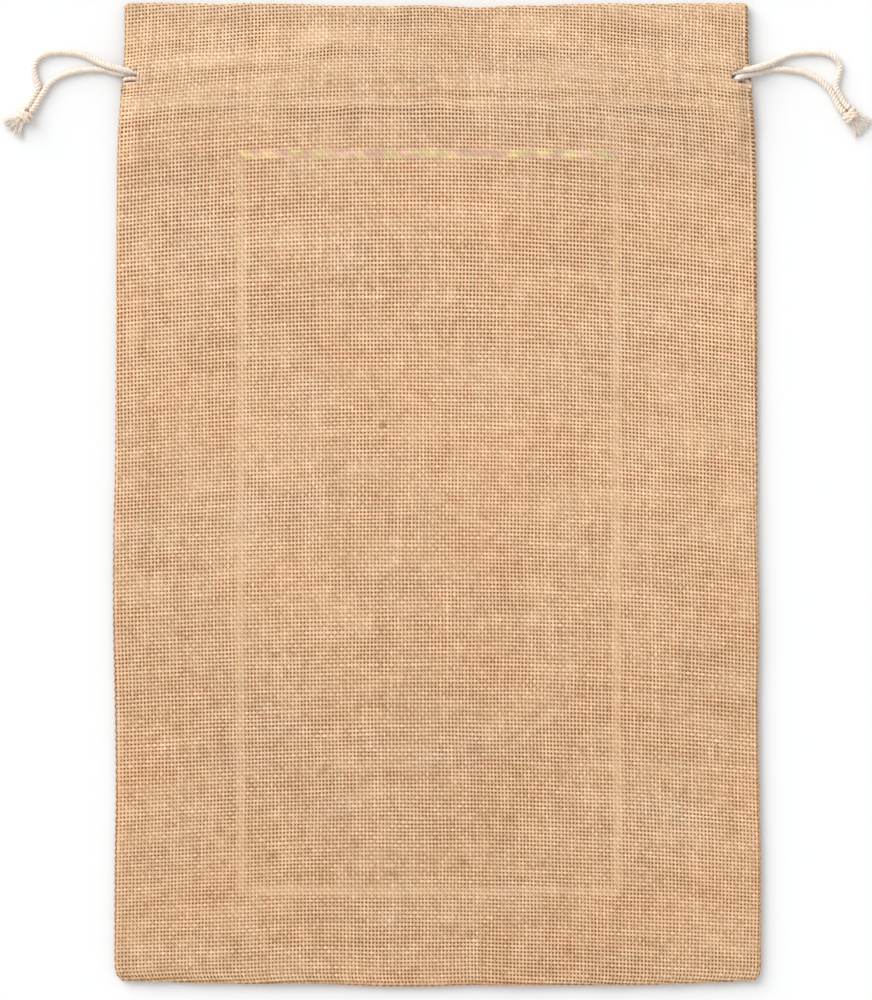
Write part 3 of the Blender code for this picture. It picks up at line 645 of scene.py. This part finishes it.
def tail_piece(name, knot, material, seed):
    """The frayed ends: a flat fan of loose fibres."""
    rng = np.random.default_rng(seed)
    out = unit(np.array([*knot["tail_to"], 0.0]))
    across = np.array([-out[1], out[0], 0.0])
    up = np.array([0.0, 0.0, 1.0])
    root = np.array([*knot["centre"], 0.0]) + out * (KNOT_HALF[1] - 0.4)
    count, steps = 300, 8
    fan = rng.uniform(-1.0, 1.0, count)
    start = root + across * (fan * 1.9 + rng.normal(0, 0.25, count))[:, None] + up * (1.6 + rng.normal(0, 0.55, count))[:, None]
    long = TAIL_LENGTH * rng.uniform(0.72, 1.12, count) + 0.8
    tip_high = rng.uniform(0.15, 2.1, count)
    end = root + out * (long * (1.06 - 0.08 * fan**2))[:, None] + across * (fan * 5.6 + rng.normal(0, 0.4, count))[:, None] + up * tip_high[:, None]
    bend = rng.normal(0, 0.45, (count, 3)) * np.array([1.0, 1.0, 0.4])
    t = np.linspace(0.0, 1.0, steps)[None, :, None]
    middle = (start + end) / 2 + bend + out * 0.4
    curves = (1 - t) ** 2 * start[:, None] + 2 * t * (1 - t) * middle[:, None] + t**2 * end[:, None]
    curves = curves + rng.normal(0, 0.06, curves.shape) * t
    curves[..., 2] = np.maximum(curves[..., 2], 0.12)
    stray = rng.random(count) < 0.07
    curves[stray] += (out[None, None, :] * t * 1.6 + across[None, None, :] * t * rng.normal(0, 1.8, (stray.sum(), 1, 1)))
    return fibre_bundle(name, curves, rng.uniform(0.13, 0.21, count), rng.normal(0.40, 0.20, count), 3, material)


def cord_fluff(name, centre, radius, per_mm, material, seed):
    """Short fibres that stand a little off a free cord."""
    rng = np.random.default_rng(seed)
    length = along_line(centre)
    count, steps = int(length[-1] * per_mm), 4
    at = rng.uniform(0.5, length[-1] - 0.5, count)
    ahead = unit(np.gradient(centre, axis=0))
    spot = np.stack([np.interp(at, length, centre[:, k]) for k in range(3)], axis=1)
    along = unit(np.stack([np.interp(at, length, ahead[:, k]) for k in range(3)], axis=1))
    side = unit(np.cross(along, (0.0, 0.0, 1.0)))
    up = np.cross(side, along)
    angle = rng.uniform(0.0, 2.0 * math.pi, count)
    out = side * np.cos(angle)[:, None] + up * np.sin(angle)[:, None]
    round_it = np.cross(along, out)
    t = np.linspace(0.0, 1.0, steps)[None, :, None]
    long = rng.uniform(0.7, 1.7, count)[:, None, None]
    lean = rng.normal(0.0, 0.8, (count, 1, 1))
    rise = rng.uniform(0.05, 0.32, count)[:, None, None]
    curves = spot[:, None] + out[:, None] * (radius - 0.12 + rise * np.sin(t * math.pi * 0.8))
    curves = curves + along[:, None] * (t - 0.5) * long + round_it[:, None] * (t - 0.5) * long * lean
    curves[..., 2] = np.maximum(curves[..., 2], 0.06)
    return fibre_bundle(name, curves, rng.uniform(0.035, 0.055, count), rng.normal(0.35, 0.15, count), 3, material)


def joined(parts, name):
    whole = parts[0]
    with bpy.context.temp_override(active_object=whole, selected_editable_objects=parts, selected_objects=parts):
        bpy.ops.object.join()
    whole.name = name
    whole.data.name = name
    return whole


cotton = {
    side: fibre_material(f"{side}_cotton", COTTON_DARK, COTTON_LIGHT, COTTON_WARM, 0.40, 0.10, 0.5)
    for side in ("left", "right")
}
for side, upper, channel, lower, knot, seed in (
    ("left", LEFT_UPPER_END, LEFT_CHANNEL, LEFT_LOWER_END, LEFT_KNOT, 11),
    ("right", RIGHT_UPPER_END, RIGHT_CHANNEL, RIGHT_LOWER_END, RIGHT_KNOT, 31),
):
    line = smooth_line(upper + channel + lower)
    length = along_line(line)
    enter = length[24 * len(upper)]
    leave = length[24 * (len(upper) + len(channel))]
    tied = knot_piece(f"{side}_knot_turns", knot, cotton[side], seed + 20)
    frayed = tail_piece(f"{side}_frayed_fibres", knot, cotton[side], seed + 40)
    for piece, node in ((tied, f"{side}_knot"), (frayed, f"{side}_frayed_tail")):
        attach(piece, "root")
        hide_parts(node)
    for part_name, start, end, step, sides, with_pieces in (
        ("upper_end", 0.0, enter, 0.34, 18, (tied, frayed)),
        ("in_channel", enter, leave, 0.62, 12, None),
        ("lower_end", leave, length[-1], 0.34, 18, ()),
    ):
        # Painted shade: the cord inside the channel gets a much darker, warmer colour (dim 0.9) for the cloth's shade
        # over it; the free ends are shifted only a little.
        radius, dim = (CORD / 2, 0.9) if part_name == "in_channel" else (LOOSE_RADIUS, 0.08)
        total = length[-1]
        # The two ends of a cord are fluffed where they lie together above the knot.
        swell = None if dim >= 0.5 else (lambda at: 1.0 + 0.15 * (ease(at, 20.0, 12.0) + ease(at, total - 20.0, total - 12.0)))
        cord, centres = rope(f"{side}_laid_cord_{part_name}", line, start, end, step, sides, cotton[side], radius=radius, seed=seed, dim=dim, swell=swell)
        if part_name != "in_channel":
            fluff = cord_fluff(f"{side}_{part_name}_fluff", centres, LOOSE_RADIUS, 11.0, cotton[side], seed + 60)
            cord = joined([cord, fluff], cord.name)
        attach(cord, "root")
        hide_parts(f"{side}_cord_{part_name}")
        if with_pieces is None:
            continue


# ---------------------------------------------------------------- the yarns
WARP_PITCH = 1.656  # 183 warp yarns across the sack
WEFT_PITCH = (  # y, distance from one weft yarn to the next
    (-230.0, 1.86), (-190.0, 1.86), (-97.0, 1.88), (-50.0, 1.90), (-3.0, 1.86), (30.0, 1.84),
    (60.0, 1.90), (91.0, 2.00), (128.0, 1.98), (157.0, 1.92), (182.0, 1.84), (200.0, 1.70),
    (232.0, 1.68), (300.0, 1.68),
)  # fmt: skip
OPENNESS = (  # y, size of the holes against the usual
    (-230.0, 1.0), (20.0, 1.0), (100.0, 1.05), (150.0, 1.05), (172.0, 1.0), (177.0, 1.15),
    (180.6, 1.35), (182.4, 0.6), (184.6, 0.6), (186.0, 1.05), (188.6, 1.05), (190.2, 0.55),
    (192.3, 0.6), (193.4, 1.05), (194.5, 0.55), (196.0, 0.6), (198.0, 0.9), (200.0, 0.8),
    (202.5, 0.6), (205.0, 0.85), (209.0, 0.95), (220.0, 0.9), (232.0, 0.85), (300.0, 0.85),
)  # fmt: skip
BORDER, BORDER_BAND = (-94.0, -188.0, 86.5, 161.3), 4.0  # low x, low y, high x, high y of the faint rectangle, and its width
CRIMP = 0.26  # how far a yarn weaves to either side of the cloth's middle
CROWN = (0.26, 0.12)  # a yarn's middle and its edges, outwards and inwards of its line
SLUBS = (  # x, y, half_length, half_width, turn_deg, tone: thick pale or dark places in the yarns
    (4.9, -70.0, 40.0, 0.7, 89.0, 0.20), (-28.8, 92.4, 5.0, 1.6, 10.0, 0.22), (-42.0, 40.3, 9.0, 1.0, -12.0, 0.22),
    (-128.2, -119.0, 4.0, 1.2, 60.0, 0.24), (128.7, -120.0, 5.0, 1.0, 85.0, 0.24), (-25.1, 32.4, 1.5, 1.1, 0.0, -1.00),
    (38.7, 211.0, 1.2, 0.9, 0.0, -0.60), (-96.0, 118.0, 8.0, 0.7, 4.0, 0.16), (61.0, 66.0, 9.0, 0.7, -6.0, 0.16),
    (108.0, 20.0, 7.0, 0.7, -8.0, 0.16), (-70.0, -40.0, 9.0, 0.7, 3.0, 0.16), (48.0, -150.0, 8.0, 0.7, -5.0, 0.16),
)  # fmt: skip


def weft_bow(c, s):
    """How far a weft yarn drops towards the sides: the cloth was pulled up in the middle."""
    return (6.2 + 2.6 * ease(s, -60.0, 120.0)) * ((c + 18.0) / 150.0) ** 2


def panel_rows():
    """s of each weft yarn in the middle of the cloth, from below the bottom seam to past the hem's end."""
    rows = [LOW_END - 2.0]
    while rows[-1] < HIGH_END + 70.0:
        rows.append(rows[-1] + float(table_at(WEFT_PITCH, 1, rows[-1])))
    return np.array(rows)


def build_cloth(face, seed, material):
    """One panel as interlaced yarns. Returns its warp, its weft and its hem."""
    side_name = "front" if face > 0 else "back"
    columns = (np.arange(185) - 92) * WARP_PITCH
    rows = panel_rows()
    nc, nr = len(columns), len(rows)
    c = np.broadcast_to(columns[:, None], (nc, nr)).copy()
    s0 = np.broadcast_to(rows[None, :], (nc, nr))
    s = s0 - weft_bow(c, s0)

    # Long waves of the yarns, then their own small shifts.
    c = c + 0.55 * smooth_noise((nc, nr), (26.0, 34.0), seed) + 0.10 * smooth_noise((nc, nr), (3.0, 5.0), seed + 1)
    s = s + 0.60 * smooth_noise((nc, nr), (30.0, 22.0), seed + 2) + 0.13 * smooth_noise((nc, nr), (6.0, 1.6), seed + 3)
    near_stitch = np.exp(-(((s - 182.0) / 5.0) ** 2)) + np.exp(-(((s - 204.0) / 5.0) ** 2))
    s = s + 0.45 * near_stitch * smooth_noise((nc, nr), (4.0, 3.0), seed + 4)
    for column in (0, nc - 1):
        c[column] = columns[column]

    point = surface(face, c, s)
    rolled = np.maximum(np.abs(c) - WIDTH / 2 + EDGE_ROLL, LOW_END - s) / EDGE_ROLL
    d = 0.25
    across = surface(face, c + d, s) - surface(face, c - d, s)
    flat = np.linalg.norm(across, axis=-1) < 1e-4
    across[flat] = (1.0, 0.0, 0.0)
    across = unit(across)
    upward = unit(surface(face, c, s + d) - surface(face, c, s - d))
    normal = unit(np.cross(across, upward) * face)
    point = point - (0.5 - 0.35 * np.clip(rolled, 0.0, 1.0))[..., None] * CLOTH * normal

    # Tones, widths and hole sizes.
    yarn_c = np.random.default_rng(seed + 5).standard_normal(nc)[:, None]
    yarn_s = np.random.default_rng(seed + 6).standard_normal(nr)[None, :]
    y_flat = np.where(s > HIGH_END, 2 * HIGH_END + math.pi * fold_radius(face) - s, s)
    openness = table_at(OPENNESS, 1, np.where(s > HIGH_END + 6.0, 225.0, s))
    streaks = 0.035 + 0.16 * ease(s, 165.0, 185.0)
    patches = 1.0 + 0.035 * smooth_noise((nc, nr), (10.0, 6.0), seed + 7) + streaks * smooth_noise((nc, nr), (9.0, 1.3), seed + 8)
    hole = np.clip(openness * patches, 0.15, 2.2)
    if face > 0:
        low_x, low_y, high_x, high_y = BORDER
        edge = np.maximum(np.abs(c - (low_x + high_x) / 2) - (high_x - low_x) / 2, np.abs(s - (low_y + high_y) / 2) - (high_y - low_y) / 2)
        hole = hole * (1.0 - 0.30 * (np.abs(edge + BORDER_BAND / 2) < BORDER_BAND / 2))
    size = (0.29, 0.27) if face > 0 else (0.20, 0.20)
    warp_gap = np.clip(size[0] * hole * (1.0 + 0.16 * yarn_c) + 0.035 * smooth_noise((nc, nr), (0.5, 8.0), seed + 9) + 0.02 * smooth_noise((nc, nr), (0.5, 0.7), seed + 10), 0.03, 0.58)
    weft_gap = np.clip(size[1] * hole * (1.0 + 0.16 * yarn_s) + 0.035 * smooth_noise((nc, nr), (8.0, 0.5), seed + 11) + 0.02 * smooth_noise((nc, nr), (0.7, 0.5), seed + 12), 0.03, 0.58)
    pit = np.clip(0.86 * hole * (1.0 + 0.32 * smooth_noise((nc, nr), (0.5, 0.5), seed + 19) + 0.24 * smooth_noise((nc, nr), (4.0, 1.7), seed + 71)), 0.10, 1.5)
    # Painted shade: on the front, the brown painted round the holes is made stronger near the slits.
    at_slit = np.exp(-(((s - SLIT_Y - 0.5) / 7.5) ** 2)) * ease(np.abs(c), 134.0, 144.0)
    pit = np.clip(pit * (1.0 + 0.7 * at_slit * (face > 0)), 0.10, 1.5)
    spacing_c = np.gradient(c, axis=0)
    spacing_s = np.gradient(s, axis=1)
    warp_half = 0.5 * np.clip(spacing_c, 0.8, 2.4) * (1.0 - warp_gap)
    weft_half = 0.5 * np.clip(spacing_s, 0.8, 2.6) * (1.0 - weft_gap)
    blotch = smooth_noise((nc, nr), (16.0, 12.0), seed + 13)
    warp_tone = 0.03 * yarn_c + 0.045 * smooth_noise((nc, nr), (0.5, 7.0), seed + 14) + 0.08 * smooth_noise((nc, nr), (0.4, 0.6), seed + 15) + 0.01 * blotch
    weft_tone = 0.04 * yarn_s + 0.045 * smooth_noise((nc, nr), (7.0, 0.5), seed + 16) + 0.08 * smooth_noise((nc, nr), (0.6, 0.4), seed + 17) + 0.01 * blotch
    warp_tone[0] -= 0.55  # in the shade of the yarns that turn over the edge
    warp_tone[-1] -= 0.30
    warp_half[[0, -1]] *= 0.7
    lower = 0.15 * ease(y_flat, 140.0, -200.0) + 0.05 * ease(s, 168.0, 190.0)
    warp_tone, weft_tone = warp_tone - lower, weft_tone - lower
    hue = 0.45 - 0.38 * ease(s, 168.0, 190.0) + 0.16 * smooth_noise((nc, nr), (9.0, 7.0), seed + 18)
    if face > 0:
        for sx, sy, long, wide, turn, strength in SLUBS:
            ct, st = math.cos(math.radians(turn)), math.sin(math.radians(turn))
            u, v = (point[..., 0] - sx) * ct + (point[..., 1] - sy) * st, -(point[..., 0] - sx) * st + (point[..., 1] - sy) * ct
            slub = strength * np.exp(-((u / long) ** 4) - (v / wide) ** 2)
            warp_tone, weft_tone = warp_tone + slub, weft_tone + slub

    # What there is of the cloth: up to the hem's end, and not in the slits.
    hem_start = HIGH_END + math.pi * fold_radius(face)
    hem_y = HIGH_END - (s - hem_start)
    half = WIDTH / 2
    there = (s > LOW_END - 2.9) & (hem_y > HEM_END)
    side_gap = np.where(s > hem_start, hem_inset(hem_y), np.where(s > HIGH_END, 0.7, -9.0))
    there &= np.abs(c) < half - side_gap
    left, right = table_at(SIDES, 1, point[..., 1]), table_at(SIDES, 2, point[..., 1])
    x, y = point[..., 0], point[..., 1]
    body = s <= HIGH_END
    depth = SLIT_DEPTH * slit_opening(y) * (1.0 + 0.03 * smooth_noise((nc, nr), (8.0, 0.4), seed + 20))
    from_left, from_right = x - left, right - x
    in_left = body & (from_left < depth) & (depth > 0) & (face > 0)
    in_right = body & (from_right < depth) & (depth > 0) & (face > 0)
    in_slit = in_left | in_right

    parity = (np.add.outer(np.arange(nc), np.arange(nr)) % 2) * 2.0 - 1.0
    from_side = np.where(in_left, from_left, from_right)
    share = np.clip(from_side / SLIT_DEPTH, 0.0, 1.0)
    upper = y > SLIT_Y
    lip_y = SLIT_Y + np.where(upper, 1.0, -1.0) * slit_edge(share, upper)
    tuck = np.array([0.0, 0.0, -0.6 * face])

    out = []
    for kind in ("warp", "weft"):
        sign = parity if kind == "warp" else -parity
        lateral = across if kind == "warp" else upward
        width = warp_half if kind == "warp" else weft_half
        tone = warp_tone if kind == "warp" else weft_tone
        middle = point + normal * (sign * CRIMP)[..., None]
        # The yarn ends on the slit's edge, a little turned under.
        moved = middle.copy()
        if kind == "warp":
            moved[..., 1] = np.where(in_slit, lip_y, moved[..., 1])
        else:
            moved[..., 0] = np.where(in_left, left + depth, np.where(in_right, right - depth, moved[..., 0]))
        middle = np.where(in_slit[..., None], moved + tuck, middle)
        centre = middle + normal * CROWN[0]
        low = middle - lateral * width[..., None] - normal * CROWN[1]
        high = middle + lateral * width[..., None] - normal * CROWN[1]
        if kind == "warp":
            uv_c = np.stack([c - width, c, c + width], axis=-1)
            uv_s = np.stack([s, s, s], axis=-1)
        else:
            uv_c = np.stack([c, c, c], axis=-1)
            uv_s = np.stack([s - width, s, s + width], axis=-1)
        uv = np.stack([(uv_c + 156.0) / 312.0, (uv_s - rows[0] + 14.0) / (rows[-1] - rows[0] + 28.0)], axis=-1)
        verts = np.stack([low, centre, high], axis=2)
        number = np.arange(nc * nr * 3).reshape(nc, nr, 3)
        lanes = np.arange(nc)[:, None] if kind == "warp" else np.arange(nr)[None, :] + 400.0
        length_here = s if kind == "warp" else c
        values = {
            # Painted highlight and shade: each yarn is lighter along its crown and where it lies on top at a crossing,
            # darker at its edges and where it passes under.
            "tone": np.repeat(tone[..., None], 3, axis=2) + np.array([-0.10, 0.07, -0.10]) + (0.05 * sign)[..., None],
            "cell_u": np.arange(nc)[:, None, None] + (np.array([-0.5, 0.0, 0.5]) * (1.0 - warp_gap)[..., None] if kind == "warp" else np.zeros((nc, nr, 3))),
            "cell_v": np.arange(nr)[None, :, None] + (np.array([-0.5, 0.0, 0.5]) * (1.0 - weft_gap)[..., None] if kind == "weft" else np.zeros((nc, nr, 3))),
            "pit": np.repeat(pit[..., None], 3, axis=2),
            "along": np.repeat(length_here[..., None], 3, axis=2),
            "lane": np.broadcast_to(lanes, (nc, nr))[..., None] * 2.0 + np.array([-0.5, 0.0, 0.5]),
            "hue": np.repeat(hue[..., None], 3, axis=2),
        }
        a = number[:, :, :-1]
        b = number[:, :, 1:]
        if kind == "warp":
            quads = np.stack([a[:, :-1], b[:, :-1], b[:, 1:], a[:, 1:]], axis=-1)
            keep = there[:, :-1] & there[:, 1:] & ~(in_slit[:, :-1] & in_slit[:, 1:])
        else:
            quads = np.stack([a[:-1], a[1:], b[1:], b[:-1]], axis=-1)
            keep = there[:-1] & there[1:] & ~(in_slit[:-1] & in_slit[1:])
        if face < 0:
            quads = quads[..., ::-1]
        out.append((kind, verts, quads, keep, uv, values, number))

    # Main part and hem are split by row, past the fold over the whole width.
    split = int(np.argmax(rows > HIGH_END + math.pi * fold_radius(face) + 11.5))
    pieces = []
    for kind, verts, quads, keep, uv, values, number in out:
        rows_of = np.arange(keep.shape[1])
        main = keep & ((rows_of < split) if kind == "warp" else (rows_of <= split))[None, :]
        chosen = quads[main].reshape(-1, 4)
        flat_values = {k: v.reshape(-1) for k, v in values.items()}
        obj = mesh_object(f"{side_name}_{kind}_yarns", verts.reshape(-1, 3), chosen, uv.reshape(-1, 2), flat_values, material)
        pieces.append(obj)
    # The hem, which is inside: flat yarns, two points across.
    hem_points, hem_quads, hem_uv, start = [], [], [], 0
    hem_values = {key: [] for key in out[0][5]}
    for kind, verts, quads, keep, uv, values, number in out:
        rows_of = np.arange(keep.shape[1])
        rest = keep & ((rows_of >= split) if kind == "warp" else (rows_of > split))[None, :]
        wide = number[:, :, 0], number[:, :, 2]
        if kind == "warp":
            q = np.stack([wide[0][:, :-1], wide[1][:, :-1], wide[1][:, 1:], wide[0][:, 1:]], axis=-1)
        else:
            q = np.stack([wide[0][:-1], wide[0][1:], wide[1][1:], wide[1][:-1]], axis=-1)
        if face < 0:
            q = q[..., ::-1]
        hem_points.append(verts.reshape(-1, 3))
        hem_quads.append(q[rest].reshape(-1, 4) + start)
        flat = uv.reshape(-1, 2).copy()
        low_v, high_v = flat[:, 1].min(), flat[:, 1].max()
        first = (rows[split] - 12.0 - rows[0] + 14.0) / (rows[-1] - rows[0] + 28.0)
        flat[:, 1] = np.clip((flat[:, 1] - first) / (high_v - first), 0.0, 1.0) * 0.48 + (0.0 if kind == "warp" else 0.51)
        hem_uv.append(flat)
        for key, value in values.items():
            hem_values[key].append(value.reshape(-1))
        start += verts.reshape(-1, 3).shape[0]
    hem = mesh_object(
        f"{side_name}_hem_yarns",
        np.concatenate(hem_points),
        np.concatenate(hem_quads),
        np.concatenate(hem_uv),
        {k: np.concatenate(v) for k, v in hem_values.items()},
        material,
    )
    pieces.append(hem)
    return pieces


jute = {
    face: fibre_material(f"{'front' if face > 0 else 'back'}_jute", JUTE_DARK, JUTE_LIGHT, JUTE_WARM, 0.30, 0.03, 0.6, woven=True, bordered=face > 0)
    for face in (1, -1)
}
panels = {}
for face, seed in ((1, 101), (-1, 301)):
    name = "front" if face > 0 else "back"
    warp, weft, hem = build_cloth(face, seed, jute[face])
    for piece in (warp, weft, hem):
        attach(piece, "root")
        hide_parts(f"{name}_panel")
    panels[name] = (warp, weft, hem)


# ---------------------------------------------------------------- floor and light
floor_mesh = bpy.data.meshes.new("floor")
floor_mesh.from_pydata([(-4, -4, 0), (4, -4, 0), (4, 4, 0), (-4, 4, 0)], [], [(0, 1, 2, 3)])
floor = bpy.data.objects.new("floor", floor_mesh)
bpy.context.scene.collection.objects.link(floor)
paper = bpy.data.materials.new("white_floor")
paper.use_nodes = True
paper.node_tree.nodes["Principled BSDF"].inputs["Base Color"].default_value = (0.775, 0.775, 0.775, 1.0)
paper.node_tree.nodes["Principled BSDF"].inputs["Roughness"].default_value = 1.0
paper.node_tree.nodes["Principled BSDF"].inputs["Specular IOR Level"].default_value = 0.0
floor_mesh.materials.append(paper)

world = bpy.data.worlds.new("studio")
world.use_nodes = True
world.node_tree.nodes["Background"].inputs["Color"].default_value = (0.965, 0.985, 1.0, 1.0)
world.node_tree.nodes["Background"].inputs["Strength"].default_value = 0.87
bpy.context.scene.world = world

sun_data = bpy.data.lights.new("window", "SUN")
sun_data.energy = 2.75
sun_data.angle = math.radians(50.0)
sun_data.color = (1.0, 0.985, 0.96)
sun = bpy.data.objects.new("window", sun_data)
toward = Vector((-0.62, 0.66, 0.54))
sun.rotation_euler = toward.to_track_quat("Z", "Y").to_euler()
bpy.context.scene.collection.objects.link(sun)

scene = bpy.context.scene
scene.view_settings.view_transform = "Standard"
scene.view_settings.look = "None"
scene.view_settings.exposure = 0.0
scene.view_settings.gamma = 1.0
